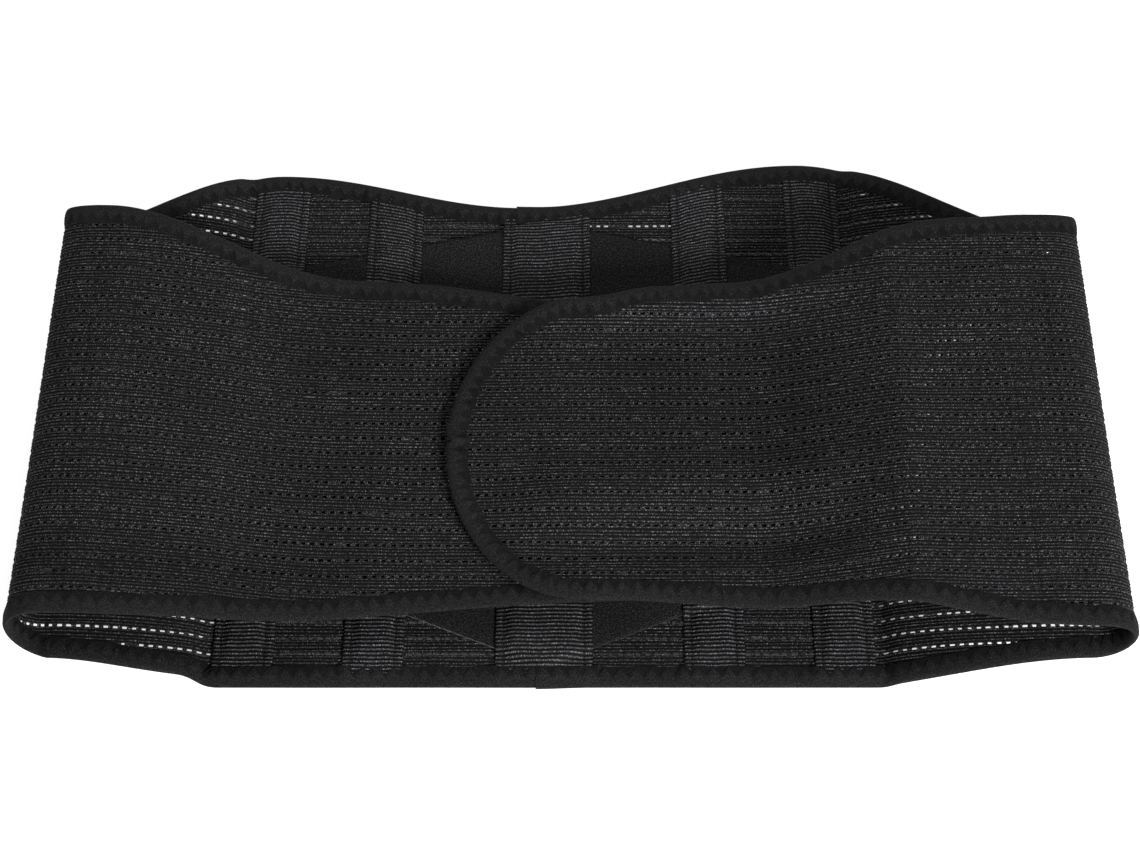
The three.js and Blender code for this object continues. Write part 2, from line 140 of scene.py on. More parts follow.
back_top = eased([
    (-FOLDED_WIDTH / 2, 92),
    (BACK_PEAK["left"], BACK_TOP["left"]),
    (BACK_DIP, BACK_TOP["center"]),
    (BACK_PEAK["right"], BACK_TOP["right"]),
    (FOLDED_WIDTH / 2, 90),
])
back_bottom = eased([
    (-FOLD_X, -116.5),
    (-160, -120.4),
    (-143.5, BACK_BOTTOM),
    (125, BACK_BOTTOM),
    (FOLD_X, -116.5),
])
front_top = {
    "left": eased([(-FOLD_X, 91), (-95, 65), (LEFT_END, 50)]),
    "right": eased([
        (FLAP_TIP + FLAP_ROUND, FLAP_TOP), (40, 58.5), (70, 60), (175, 84.5), (FOLD_X, 86),
    ]),
}
front_bottom = {
    "left": eased([(-FOLD_X, -106), (LEFT_END, -90)]),
    "right": eased([(FLAP_TIP + FLAP_ROUND, FLAP_BOTTOM), (100, FLAP_BOTTOM - 5), (FOLD_X, -112)]),
}
front_level = {
    "left": eased([(-FOLD_X, FOLD_LEVEL), (-85, LEFT_LEVEL), (LEFT_END, LEFT_LEVEL)]),
    "right": eased([(72, RIGHT_LEVEL), (150, FOLD_LEVEL), (FOLD_X, FOLD_LEVEL)]),
}


def waves(x, height, seed):
    """Slow ripples of cloth, between about -1 and 1."""
    a = np.sin(x / 17.0 + height / 61.0 + 1.7 * seed)
    b = np.sin(x / 29.0 - height / 34.0 + 0.9 * seed + 0.6 * np.sin(height / 40.0))
    c = np.sin(x / 11.5 + height / 95.0 + 2.3 * seed)
    return 0.45 * a + 0.35 * b + 0.2 * c


def front_x(side, along):
    """X of a place on a front. A front starts at the top of its fold."""
    return MIRROR[side] * (2 * FOLD_X + FOLD_LENGTH - along)


def along_front(side, x):
    return 2 * FOLD_X + FOLD_LENGTH - MIRROR[side] * x


def relief(side, x, height):
    """How far a front's cloth stands off its plain level: ripples, ridges and swells."""
    ripple = 0.9 * waves(x, height, 1.0 if side == "right" else 4.0)
    if side == "right":
        ridge = 0.9 * hump(x, 140, 7) - 0.5 * hump(x, 118, 12)
        loose = smooth(x, 52, 90)
        slant = height - 0.06 * x
        swell = 3.6 * hump(slant, 49, 9) + 2.8 * hump(slant, -42, 13)
        lie = smooth(x, -38, 0) * (1 - smooth(x, 95, 135))
        lying = lie * (swell - 2.4 * hump(slant, -70, 7.5) + 0.9)
    else:
        ridge = 0.7 * hump(x, -150, 9)
        loose = 1 - smooth(x, -95, -62)
        swell = 1.3 * hump(height, -45, 16) + 0.8 * hump(height, 40, 12)
        lying = swell * (1 - smooth(x, -90, -65)) * smooth(x, -185, -150)
    stay = 0.3 * np.exp(-(((np.abs(x) - SIDE_SLEEVE_X) / 7.5) ** 4))
    near_fold = 1 - smooth(np.abs(x), FOLD_X - 30, FOLD_X - 4)
    return loose * (ripple + ridge) * near_fold + stay + lying


def painted_light_bands(side, x, height):
    """Painted light and shade on a front's cloth: paler bands painted over its swells, darker bands
    painted between and below them.
    """
    if side == "right":
        lie = smooth(x, -45, -5) * (1 - smooth(x, 92, 128))
        slant = height - 0.06 * x
        painted_light = 0.42 * hump(slant, 41, 8) * smooth(x, -5, 30) + 0.2 * hump(slant, -56, 9)
        painted_shade = 0.22 * smooth(slant, -42, -25) * (1 - smooth(slant, 20, 32)) * smooth(x, 0, 40)
        painted_shade = painted_shade + 0.3 * hump(slant, -79, 7) * smooth(x, 10, 50)
        return 1 + lie * (painted_light - painted_shade)
    painted_light = 0.14 * hump(height, -52, 16) * smooth(x, -85, -60)
    painted_shade = 0.3 * hump(height, 25, 14) * hump(x, -100, 26)
    painted_shade = painted_shade + 0.32 * hump(height, -82, 10) * (1 - smooth(x, -95, -75))
    return 1 + painted_light - painted_shade


def outer_sleeve(side):
    return MIRROR[side] * BACK_CENTER + SLEEVE_OFFSETS["outer"]


def fold_lift(side, along, height):
    """The belt bends up from the table past its outer sleeve, and turns tightest at the front."""
    stiff = outer_sleeve(side) + SLEEVE_WIDTH / 2
    into = np.clip(along - stiff, 0, FOLD_X - stiff)
    full = FOLD_RISE
    if side == "right":
        full = full * (1 - RIB_SLACK * smooth(height, -20, 110))
    curve = (1 - np.exp(-into / RISE_LENGTH)) / (1 - math.exp(-(FOLD_X - stiff) / RISE_LENGTH))
    on_back = full * curve * smooth(into, -1, 9)
    turn = np.clip((along - FOLD_X) / FOLD_RADIUS, 0, math.pi)
    hip, rib = MIDDLE_RISE["hip"], MIDDLE_RISE["rib"]
    middle = hip + (rib - hip) * smooth(height, -60, 90)
    lower = full + (middle - full) * turn / (math.pi / 2)
    upper = middle * (1 - np.sin(np.clip(turn - math.pi / 2, 0, math.pi / 2)))
    return np.where(along < FOLD_X, on_back, np.where(turn < math.pi / 2, lower, upper))


def place(side):
    """The map from belt coordinates of one half to the frame, in mm."""
    mirror = MIRROR[side]

    def at(along, height, out):
        given = (np.asarray(v, float) for v in (along, height, out))
        along, height, out = np.broadcast_arrays(*given)
        angle = np.clip((along - FOLD_X) / FOLD_RADIUS, 0, math.pi) - math.pi / 2
        radius = FOLD_RADIUS + out
        x = mirror * (FOLD_X + (radius - FOLD_TIGHT) * np.cos(angle))
        z = FOLD_MIDDLE + radius * np.sin(angle)
        on_back = along <= FOLD_X
        x = np.where(on_back, mirror * along, x)
        z = np.where(on_back, BACK_LEVEL - out, z)
        on_front = along >= FOLD_X + FOLD_LENGTH
        flat = front_x(side, along)
        level = front_level[side](flat) + relief(side, flat, height)
        x = np.where(on_front, flat, x)
        z = np.where(on_front, level + out, z + fold_lift(side, along, height))
        return np.stack([x * (1 - SIDE_TAPER * height), height + HEIGHT_SHIFT, z], -1)

    return at


def edges(side):
    """Heights of the hip and rib edges of one half, by the distance along it."""
    mirror = MIRROR[side]

    def edge(back, front):
        def height(along):
            along = np.asarray(along, float)
            ends = back(mirror * FOLD_X), front(mirror * FOLD_X)
            turn = np.sin(np.clip((along - FOLD_X) / FOLD_LENGTH, 0, 1) * np.pi / 2)
            on_fold = ends[0] + (ends[1] - ends[0]) * turn
            on_front = front(front_x(side, along))
            height = np.where(along < FOLD_X, back(mirror * along), on_fold)
            return np.where(along > FOLD_X + FOLD_LENGTH, on_front, height)

        return height

    return edge(back_bottom, front_bottom[side]), edge(back_top, front_top[side])


# ---- Mesh building ----

def outward(points, quads):
    """The quads, turned round if they face into their solid."""
    a, b, c, d = (points[quads[:, k]] for k in range(4))
    volume = np.sum(a * np.cross(b, c)) + np.sum(a * np.cross(c, d))
    return quads[:, ::-1] if volume < 0 else quads


def unit(vectors):
    return vectors / np.linalg.norm(vectors, axis=1, keepdims=True)


def grid_cloth(along, across, tone):
    """Cloth coordinates: along, across (mm), and the tone that a material multiplies by."""
    return np.stack(np.broadcast_arrays(*(np.asarray(v, float) for v in (along, across, tone))), -1)


def shell(top, under, keep=None, cloth=None, under_cloth=None):
    """A closed sheet between two grids of points, without the cells that keep leaves out."""
    n, m = top.shape[:2]
    if cloth is None:
        cloth = grid_cloth(top[..., 0], top[..., 1], 1)
    if under_cloth is None:
        under_cloth = cloth
    if keep is None:
        keep = np.ones((n - 1, m - 1), bool)
    ids = np.arange(n * m).reshape(n, m)
    a, b, c, d = ids[:-1, :-1], ids[1:, :-1], ids[1:, 1:], ids[:-1, 1:]
    faces = np.stack([a, b, c, d], -1)[keep]
    padded = np.pad(keep, 1)
    here = padded[1:-1, 1:-1]
    walls = []
    for start, end, beside in (
        (a, b, padded[1:-1, :-2]),
        (b, c, padded[2:, 1:-1]),
        (c, d, padded[1:-1, 2:]),
        (d, a, padded[:-2, 1:-1]),
    ):
        rim = here & ~beside
        walls.append(np.stack([end[rim], start[rim], start[rim] + n * m, end[rim] + n * m], -1))
    quads = np.concatenate([faces, (faces + n * m)[:, ::-1], *walls])
    points = np.concatenate([top.reshape(-1, 3), under.reshape(-1, 3)])
    cloths = np.concatenate([cloth.reshape(-1, 3), under_cloth.reshape(-1, 3)])
    used, quads = np.unique(quads, return_inverse=True)
    points, quads = points[used], quads.reshape(-1, 4)
    return points, outward(points, quads), cloths[used]


def tube_quads(n, m, caps):
    """Quads of a tube of n rings of m points; caps are the quads that close a ring."""
    ids = np.arange(n * m).reshape(n, m)
    after = np.roll(ids, -1, axis=1)
    sides = np.stack([ids[:-1], after[:-1], after[1:], ids[1:]], -1).reshape(-1, 4)
    caps = np.array(caps)
    return np.concatenate([sides, caps[:, ::-1], caps + (n - 1) * m])


def sweep(rings, caps, cloth=None):
    """A tube through rings of points."""
    if cloth is None:
        cloth = grid_cloth(rings[..., 0], rings[..., 1], 1)
    points = rings.reshape(-1, 3)
    return points, outward(points, tube_quads(*rings.shape[:2], caps)), cloth.reshape(-1, 3)


def stitches(starts, ends, lift, radius, tone=1.0):
    """Short curved stitches, each from a start to an end, bowed by lift and thin at its ends."""
    shares = np.array([0.0, 0.2, 0.5, 0.8, 1.0])
    bow = np.sin(np.pi * shares)
    thick = np.array([0.45, 0.9, 1.0, 0.9, 0.45]) * radius
    run = ends - starts
    middle = starts[:, None] + shares[None, :, None] * run[:, None]
    middle = middle + bow[None, :, None] * lift[:, None]
    up = unit(lift)
    side = np.cross(unit(run), up)
    angles = np.arange(6) * np.pi / 3
    ring = (
        np.cos(angles)[None, None, :, None] * side[:, None, None]
        + np.sin(angles)[None, None, :, None] * up[:, None, None]
    )
    rings = middle[:, :, None] + thick[None, :, None, None] * ring
    quads = tube_quads(5, 6, [(0, 1, 2, 3), (0, 3, 4, 5)])
    quads = (quads[None] + (np.arange(len(starts)) * 30)[:, None, None]).reshape(-1, 4)
    points = rings.reshape(-1, 3)
    return points, outward(points, quads), grid_cloth(points[:, 0], points[:, 1], tone)


def piece(name, meshes, materials, body, sharp=40):
    """A Blender object from (points, quads, cloth) meshes in mm, each with its own material."""
    counts = [len(mesh[0]) for mesh in meshes]
    offsets = np.cumsum([0, *counts[:-1]])
    points = np.concatenate([mesh[0] for mesh in meshes]) * MM
    quads = np.concatenate([mesh[1] + offset for mesh, offset in zip(meshes, offsets)])
    cloth = np.concatenate([mesh[2] for mesh in meshes])
    wears = np.concatenate([
        np.full(len(mesh[1]), min(i, len(materials) - 1)) for i, mesh in enumerate(meshes)
    ])
    mesh = bpy.data.meshes.new(name)
    mesh.vertices.add(len(points))
    mesh.vertices.foreach_set("co", points.astype(np.float32).ravel())
    mesh.loops.add(quads.size)
    mesh.loops.foreach_set("vertex_index", quads.astype(np.int32).ravel())
    mesh.polygons.add(len(quads))
    mesh.polygons.foreach_set("loop_start", np.arange(0, quads.size, 4, dtype=np.int32))
    mesh.polygons.foreach_set("material_index", wears.astype(np.int32))
    mesh.update(calc_edges=True)
    weave = mesh.attributes.new("cloth", "FLOAT_VECTOR", "POINT")
    weave.data.foreach_set("vector", cloth.astype(np.float32).ravel())
    mesh.validate()
    mesh.shade_smooth()
    mesh.set_sharp_from_angle(angle=math.radians(sharp))
    for material in materials:
        mesh.materials.append(material)
    obj = bpy.data.objects.new(name, mesh)
    bpy.context.collection.objects.link(obj)
    if body:
        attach(obj, body)
    return obj


# ---- Materials ----

def node_material(name):
    material = bpy.data.materials.new(name)
    material.use_nodes = True
    nodes = material.node_tree.nodes
    return material, nodes, material.node_tree.links, nodes["Principled BSDF"]


def set_inputs(node, values):
    for name, value in values.items():
        node.inputs[name].default_value = value


def noise(nodes, links, source, stretch, detail):
    mapping = nodes.new("ShaderNodeMapping")
    mapping.inputs["Scale"].default_value = stretch
    links.new(source, mapping.inputs["Vector"])
    texture = nodes.new("ShaderNodeTexNoise")
    set_inputs(texture, {"Scale": 1.0, "Detail": detail})
    links.new(mapping.outputs["Vector"], texture.inputs["Vector"])
    return texture.outputs["Fac"]


def ramp(nodes, links, source, low, high, dark, light):
    colours = nodes.new("ShaderNodeValToRGB")
    for element, position, colour in zip(colours.color_ramp.elements, (low, high), (dark, light)):
        element.position = position
        element.color = (*colour, 1)
    links.new(source, colours.inputs["Fac"])
    return colours.outputs["Color"]


def scaled(nodes, links, vector, factor):
    node = nodes.new("ShaderNodeVectorMath")
    node.operation = "SCALE"
    links.new(vector, node.inputs[0])
    links.new(factor, node.inputs["Scale"])
    return node.outputs[0]


def fabric(name, dark, light, painted_glint, yarn, roughness, sheen, depth):
    """Cloth of yarn: fibres and painted glints, specks of painted highlight, run with the weave, over
    slow patches of wear.

    yarn is how many fibres there are to a millimetre, along the cloth and across it.
    """
    material, nodes, links, shader = node_material(name)
    weave = nodes.new("ShaderNodeAttribute")
    weave.attribute_name = "cloth"
    split = nodes.new("ShaderNodeSeparateXYZ")
    links.new(weave.outputs["Vector"], split.inputs["Vector"])
    fibre = noise(nodes, links, weave.outputs["Vector"], (*yarn, 0), 3.0)
    speck = noise(nodes, links, weave.outputs["Vector"], (yarn[0] * 1.9, yarn[1] * 1.6, 0), 1.0)
    coords = nodes.new("ShaderNodeTexCoord")
    slow = noise(nodes, links, coords.outputs["Object"], (28, 28, 28), 2.0)
    wear = nodes.new("ShaderNodeMapRange")
    set_inputs(wear, {"From Min": 0.3, "From Max": 0.7, "To Min": 0.9, "To Max": 1.1})
    links.new(slow, wear.inputs["Value"])
    base = ramp(nodes, links, fibre, 0.34, 0.66, dark, light)
    painted_shine = ramp(nodes, links, speck, 0.56, 0.68, (0, 0, 0), painted_glint)
    both = nodes.new("ShaderNodeVectorMath")
    both.operation = "ADD"
    links.new(base, both.inputs[0])
    links.new(painted_shine, both.inputs[1])
    worn = scaled(nodes, links, both.outputs[0], wear.outputs["Result"])
    # The base colour is scaled by the cloth's tone, which carries the painted highlights and painted
    # shade that the meshes give it.
    links.new(scaled(nodes, links, worn, split.outputs["Z"]), shader.inputs["Base Color"])
    rough = nodes.new("ShaderNodeMapRange")
    set_inputs(rough, {"To Min": roughness - 0.08, "To Max": roughness + 0.08})
    links.new(fibre, rough.inputs["Value"])
    links.new(rough.outputs["Result"], shader.inputs["Roughness"])
    set_inputs(shader, {"Sheen Weight": sheen, "Sheen Roughness": 0.4, "Specular IOR Level": 0.16})
    bump = nodes.new("ShaderNodeBump")
    set_inputs(bump, {"Strength": 0.7, "Distance": depth})
    links.new(fibre, bump.inputs["Height"])
    links.new(bump.outputs["Normal"], shader.inputs["Normal"])
    return material


def grey(value, blue=1.06):
    return value, value, value * blue


# Each fabric's third colour is its painted glint: specks of painted highlight in the base colour.
ELASTIC = fabric(
    "elastic_knit", grey(0.002), grey(0.018), grey(0.088), (0.9, 0.8), 0.82, 0.02, 0.0002
)
TAPE = fabric(
    "binding_tape", grey(0.0025), grey(0.015), grey(0.028), (1.5, 1.0), 0.88, 0.02, 0.00018
)
THREAD = fabric("sewing_thread", grey(0.004), grey(0.016), grey(0.010), (3, 3), 0.7, 0.0, 0.0001)
WEBBING = fabric("webbing", grey(0.004), grey(0.031), grey(0.10), (1.1, 0.9), 0.72, 0.02, 0.0002)
PAD = fabric("pad_knit", grey(0.001), grey(0.012), grey(0.050), (1.1, 1.1), 0.92, 0.03, 0.0003)
HOOK = fabric("hook_fabric", grey(0.004), grey(0.014), grey(0.02), (2, 2), 0.6, 0.0, 0.0001)
LOOP = fabric("loop_fabric", grey(0.004), grey(0.016), grey(0.03), (1.6, 1.6), 0.95, 0.15, 0.0004)
STEEL = fabric("stay_steel", grey(0.46), grey(0.60), grey(0.06), (6, 0.2), 0.34, 0.0, 0.00003)
STEEL.node_tree.nodes["Principled BSDF"].inputs["Metallic"].default_value = 1.0
VINYL = fabric("stay_tip", grey(0.66, 0.96), grey(0.76, 0.96), grey(0.02), (1, 1), 0.45, 0.0, 0.0001)


# ---- Elastic body ----

def row_lines():
    """One row of the cloth: (height, relief, tone) of each line of points. The tone paints a
    highlight on each rib's crest and shade in its grooves, and makes the bars between holes paler.
    """
    lines = [(0.0, 0.25, 1.5), (HOLE_HEIGHT, 0.25, 1.5)]
    rib = (ROW_PITCH - HOLE_HEIGHT) / RIBS_PER_ROW
    for i in range(RIBS_PER_ROW):
        foot = HOLE_HEIGHT + i * rib
        lines.append((foot + 0.12 * rib, -0.1, 0.0))
        lines.append((foot + 0.34 * rib, 0.45, 0.10))
        lines.append((foot + 0.52 * rib, 1.0, 2.3))
        lines.append((foot + 0.74 * rib, 0.75, 1.1))
    lines.append((ROW_PITCH - 0.1 * rib, -0.1, 0.0))
    return lines


def end_drop(side, along):
    """How far the rounded end of a front takes its two edges in."""
    tip, length, depth = FRONT_END[side]
    into = np.clip(1 - (MIRROR[side] * (front_x(side, along) - tip)) / length, 0, 1)
    into = np.where(along > FOLD_X + FOLD_LENGTH, into, 0)
    return depth * (1 - np.sqrt(1 - into * into))


def pocket_lines():
    """Distance across a front of the two seams that close a side stay's pocket."""
    reach = SLEEVE_WIDTH / 2 - STITCH_MARGIN
    return SIDE_SLEEVE_X - reach, SIDE_SLEEVE_X + reach


def column_marks(start, end):
    """Places along the belt of the cloth's columns of points: both sides of every hole."""
    before_hole = (HOLE_PITCH - HOLE) / 2
    marks = [start]
    for k in range(math.floor(start / HOLE_PITCH), math.ceil(end / HOLE_PITCH) + 1):
        marks += [k * HOLE_PITCH + before_hole, k * HOLE_PITCH + before_hole + HOLE]
    marks = np.array([m for m in marks if start <= m <= end] + [end])
    marks = marks[np.concatenate([[True], np.diff(marks) > 0.15])]
    marks[-1] = end
    return marks


def kept_cells(side, marks, heights, in_row, rng):
    """Cells of the cloth that are there: between the tapes, and not an open hole."""
    low, high = edges(side)
    along = (marks[1:] + marks[:-1])[:, None] / 2
    height = (heights[1:] + heights[:-1])[None, :] / 2
    drop = end_drop(side, along)
    inside = np.minimum(height - low(along), high(along) - height) - drop
    hole_column = np.abs(np.mod(along, HOLE_PITCH) - HOLE_PITCH / 2) < HOLE / 2
    wide = np.diff(marks)[:, None] > HOLE * 0.9
    open_hole = rng.random((len(marks) - 1, len(heights) - 1)) > CLOSED_HOLES
    hole = hole_column & wide & in_row[:-1][None, :] & open_hole
    return (inside > UNDER_TAPE) & ~(hole & (inside > HOLE_FREE_EDGE))


def ribbed_cloth(side, start, end):
    """Elastic between two places along one half: ribs run along the belt, with rows of holes."""
    low, high = edges(side)
    marks = column_marks(start, end)
    samples = np.linspace(start, end, 60)
    lines = row_lines()
    first = math.floor(float(low(samples).min()) / ROW_PITCH)
    rows = range(first, math.ceil(float(high(samples).max()) / ROW_PITCH))
    heights = np.array([r * ROW_PITCH + line[0] for r in rows for line in lines])
    relief_of, tone_of = (np.tile([line[k] for line in lines], len(rows)) for k in (1, 2))
    in_row = np.tile(np.arange(len(lines)) == 0, len(rows))
    a, h = np.meshgrid(marks, heights, indexing="ij")
    rng = np.random.default_rng(int(start * 10) % 9973 + (5 if side == "left" else 0))
    inner_column = np.ones((len(marks), 1))
    inner_column[[0, -1]] = 0
    at_row = in_row | np.roll(in_row, 1)
    jitter = rng.normal(0, 0.16, a.shape) * at_row[None] * inner_column
    wobble = 0.10 * np.sin(a / 9.0 + h / 3.1) + 0.12 * np.sin(a / 23.0 + h * 1.7)
    wobble = wobble + rng.normal(0, 0.035, a.shape) * inner_column
    uneven = 1 + 0.14 * np.sin(a / 4.1 + 2.1 * h) + rng.normal(0, 0.07, a.shape) * inner_column
    pressed = sum(hump(a, along_front(side, MIRROR[side] * seam), 0.8) for seam in pocket_lines())
    rise = ELASTIC_HALF + RIB_HEIGHT * relief_of[None, :] * uneven
    at = place(side)
    outer = at(a + jitter, h + wobble, rise - 0.16 * pressed)
    inner = at(a + jitter, h + wobble, -rise)
    # The tone carries the painted rib highlights and groove shade, is darker along the pocket seams,
    # and is scaled by the painted light and shade bands.
    tone = tone_of[None] * (1 - 0.2 * pressed) * painted_light_bands(side, front_x(side, a), h)
    cloth = grid_cloth(a, h, tone)
    inner_cloth = grid_cloth(a, h + 500, np.where(in_row[None], 1.8, tone))
    keep = kept_cells(side, marks, heights, in_row, rng)
    return shell(outer, inner, keep, cloth, inner_cloth)


def cloth_area(side, start, end):
    """Flat area of a stretch of cloth, in square metres, and its flat width and height."""
    low, high = edges(side)
    at = np.linspace(start, end, 200)
    tall = np.maximum(high(at) - low(at) - 2 * (end_drop(side, at) + UNDER_TAPE), 0)
    return float(np.trapz(tall, at)) * MM * MM, (end - start) * MM, float(tall.max()) * MM


def elastic(name, side, start, end, body):
    cloth = piece(name, [ribbed_cloth(side, start, end)], [ELASTIC], body)
    area, width, length = cloth_area(side, start, end)
    min(area, width * length)
    return cloth


FLAP_SEAM_X = 62
SIDE_STITCH_X = min(pocket_lines())


def bend(obj, side):
    """Bakes a piece's transform into its mesh; the piece already turns round one half of a side fold,
    up to or past its outermost line, as place lays it.
    """
    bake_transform(obj)


for side in ("left", "right"):
    center = MIRROR[side] * BACK_CENTER
    back = elastic(f"back_elastic_{side}", side, center, outer_sleeve(side), "back")
    lower = elastic(f"{side}_fold_elastic_back", side, outer_sleeve(side), ARC_MIDDLE, None)
    bend(lower, side)
    stitch = along_front(side, MIRROR[side] * SIDE_STITCH_X)
    upper = elastic(f"{side}_fold_elastic_front", side, ARC_MIDDLE, stitch, None)
    bend(upper, side)
    if side == "right":
        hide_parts("back_panel")
        seam = along_front(side, FLAP_SEAM_X)
        wing = elastic("right_front_elastic", side, stitch, seam, "right_wing")
        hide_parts("right_front_panel")
        flap = elastic("closure_elastic", side, seam, along_front(side, FLAP_TIP + 0.5), None)
        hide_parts("closure_panel")
    else:
        middle = along_front(side, -35)
        wing = elastic("left_front_elastic", side, stitch, middle, "left_wing")
        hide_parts("left_front_panel")
        elastic("left_end_elastic", side, middle, along_front(side, LEFT_END - 1), "left_wing")
    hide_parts(f"{side}_side_panel")


def bend_flap(obj):
    """Bakes the transform of a piece on the closing flap into its mesh."""
    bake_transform(obj)


bend_flap(flap)


# ---- Binding tape, with its zigzag stitching ----

SEAM_OUTER, SEAM_INNER = 4.2, 8.6  # lines that the needle goes down, inwards from the edge
ZIGZAG_PITCH = 6.3
ZIGZAG_STATIONS = 8
TAPE_PROFILE = [  # (inwards from the edge, height), over the top face and round the edge
    (9.35, 0.60), (9.5, 0.86), (9.2, 1.08), (8.6, 1.18), (7.5, 1.24), (6.4, 1.30), (5.3, 1.34),
    (4.2, 1.38), (3.1, 1.40), (2.1, 1.34), (1.2, 1.14), (0.45, 0.76), (0.06, 0.3),
]


def tape_section():
    """The tape's ring: its outside, then its inside back again, with as many points."""
    outside = TAPE_PROFILE + [(a, -h) for a, h in TAPE_PROFILE[::-1]]
    inner_edge = 2.2
    count = len(outside)
    inside = []
    for k, (a, h) in enumerate(outside):
        share = abs(2 * k / (count - 1) - 1)
        depth = inner_edge + (TAPE_WIDTH - inner_edge) * share
        inside.append((depth, math.copysign(0.5, h) * min(1, 5 * share)))
    caps = [(k, k + 1, 2 * count - 2 - k, 2 * count - 1 - k) for k in range(count - 1)]
    return np.array(outside + inside[::-1], float), caps, count


TAPE_SECTION, TAPE_CAPS, TAPE_OUTSIDE = tape_section()


def beside(at, path, run, inwards, out):
    """Points beside a path in (along, height) that runs as run says: inwards is to its left."""
    along = path[:, 0] - run[:, 1] * inwards
    height = path[:, 1] + run[:, 0] * inwards
    return at(along, height, out)


def path_length(path):
    step = np.linalg.norm(np.diff(path, axis=0), axis=1)
    return np.concatenate([[0], np.cumsum(step)])


def resample(path, step):
    length = path_length(path)
    count = max(2, int(round(length[-1] / step)) + 1)
    at = np.linspace(0, length[-1], count)
    return np.stack([np.interp(at, length, path[:, k]) for k in range(2)], -1)


def sleeve_bulge(side, along):
    """1 where a sleeve runs under the tape, else 0."""
    mirror = MIRROR[side]
    spans = [
        (mirror * BACK_CENTER, CENTER_SLEEVE_WIDTH / 2),
        (mirror * BACK_CENTER + SLEEVE_OFFSETS["inner"], SLEEVE_WIDTH / 2),
        (mirror * BACK_CENTER + SLEEVE_OFFSETS["outer"], SLEEVE_WIDTH / 2),
        (along_front(side, mirror * SIDE_SLEEVE_X), SLEEVE_WIDTH / 2),
    ]
    return sum(smooth(half + 2.8 - np.abs(along - middle), 0, 2.3) for middle, half in spans)


def seam_depth(station):
    turn = np.abs(station % ZIGZAG_STATIONS - ZIGZAG_STATIONS / 2) / (ZIGZAG_STATIONS / 2)
    return SEAM_INNER + (SEAM_OUTER - SEAM_INNER) * turn


def zigzag(at, path, run, bulge, face):
    """The zigzag stitching on one face of the tape."""
    needle = np.arange(0, len(path), ZIGZAG_STATIONS // 2)
    depth = seam_depth(needle)
    swell = 0.95 * bulge[needle] * (face < 0)
    low = beside(at, path[needle], run[needle], depth, face * (1.05 + swell))
    high = beside(at, path[needle], run[needle], depth, face * (2.05 + swell))
    return stitches(low[:-1], low[1:], (high - low)[:-1] * 0.12, 0.2, 0.7)


def tape(name, side, path, body, lap=None, pucker=None):
    """Tape folded over an edge, whose path runs in (along, height) with the cloth on its left.

    lap is where, along the belt, a tape lies over the end of the one before it. pucker is the
    height at which a closing tape is pinched.
    """
    at = place(side)
    fine = resample(path, ZIGZAG_PITCH / ZIGZAG_STATIONS)
    run = unit(np.gradient(fine, axis=0))
    length = path_length(fine)
    station = np.arange(len(fine))
    seam = seam_depth(station)
    bulge = sleeve_bulge(side, fine[:, 0])
    slow = 0.10 * np.sin(length / 13.0 + fine[:, 1] / 7.0)
    gather = 0.07 * np.sin(2 * np.pi * length / 3.4 + np.sin(length / 8.0))
    thicker = np.zeros(len(fine))
    if lap is not None:
        thicker = 0.42 * (1 - smooth(fine[:, 0], lap, lap + 22))
    pinch = np.zeros(len(fine))
    if pucker is not None:
        gather = gather * 2.2
        above = fine[:, 1] - pucker
        pinch = 1.8 * hump(above, 0, 1.7) - 0.9 * hump(above, 4.2, 1.8) - 0.7 * hump(above, -3.8, 1.6)
    rng = np.random.default_rng(len(fine) + (1 if side == "right" else 0))
    needles = np.arange(0, len(fine) + 8, 4)
    uneven = np.interp(station, needles, rng.uniform(0.55, 1.15, len(needles)))
    rings, cloths = [], []
    for k, (a, h) in enumerate(TAPE_SECTION):
        face = float(np.sign(h))
        if k < TAPE_OUTSIDE:
            beyond = a - seam
            stitched = a > 3.5
            groove = hump(beyond, 0, 0.6) * stitched
            inner = smooth(beyond, 0.25, 1.1) * stitched
            outer = smooth(-beyond, 0.4, 1.6) * stitched
            drop = (0.30 * groove + 0.26 * inner) * uneven - 0.10 * outer
            lift = abs(h) - drop + slow * 0.5 + gather * min(1, a / 3) + thicker + 0.5 * pinch
            # The tone paints shade in the zigzag's grooves and in the pressed-down triangles inside
            # them, and a highlight on the puffed outer side and on the pucker's ridge, with shade in
            # the dips beside it.
            tone = 1.05 - (0.45 * groove + 0.62 * inner) * uneven + 0.12 * outer + 0.22 * pinch
        else:
            lift = abs(h) + 0 * seam
            tone = 1 + 0 * seam
        if face < 0:
            lift = lift + 0.95 * bulge * float(smooth(a, 1.5, 5))
        edge = 0.2 * np.sin(length / 3.1 + 0.7 * np.sin(length / 11.0)) * (a > 9)
        inwards = a + edge - thicker * (a < 1) + 1.1 * pinch * (k < TAPE_OUTSIDE) * (1 - a / 14)
        rings.append(beside(at, fine, run, inwards, face * lift))
        cloths.append(grid_cloth(length, a + 40 * (face < 0), np.clip(tone, 0.15, 1.3)))
    body_mesh = sweep(np.stack(rings, 1), TAPE_CAPS, np.stack(cloths, 1))
    meshes = [body_mesh, zigzag(at, fine, run, bulge, 1), zigzag(at, fine, run, bulge, -1)]
    return piece(name, meshes, [TAPE, THREAD], body, sharp=50)


def edge_tape(name, side, which, start, end, body, lap=None):
    """Tape along a stretch of the hip (0) or rib (1) edge of one half."""
    along = np.linspace(start, end, max(3, int(abs(end - start))))
    path = np.stack([along, edges(side)[which](along)], -1)
    return tape(name, side, path[::-1] if which else path, body, lap)


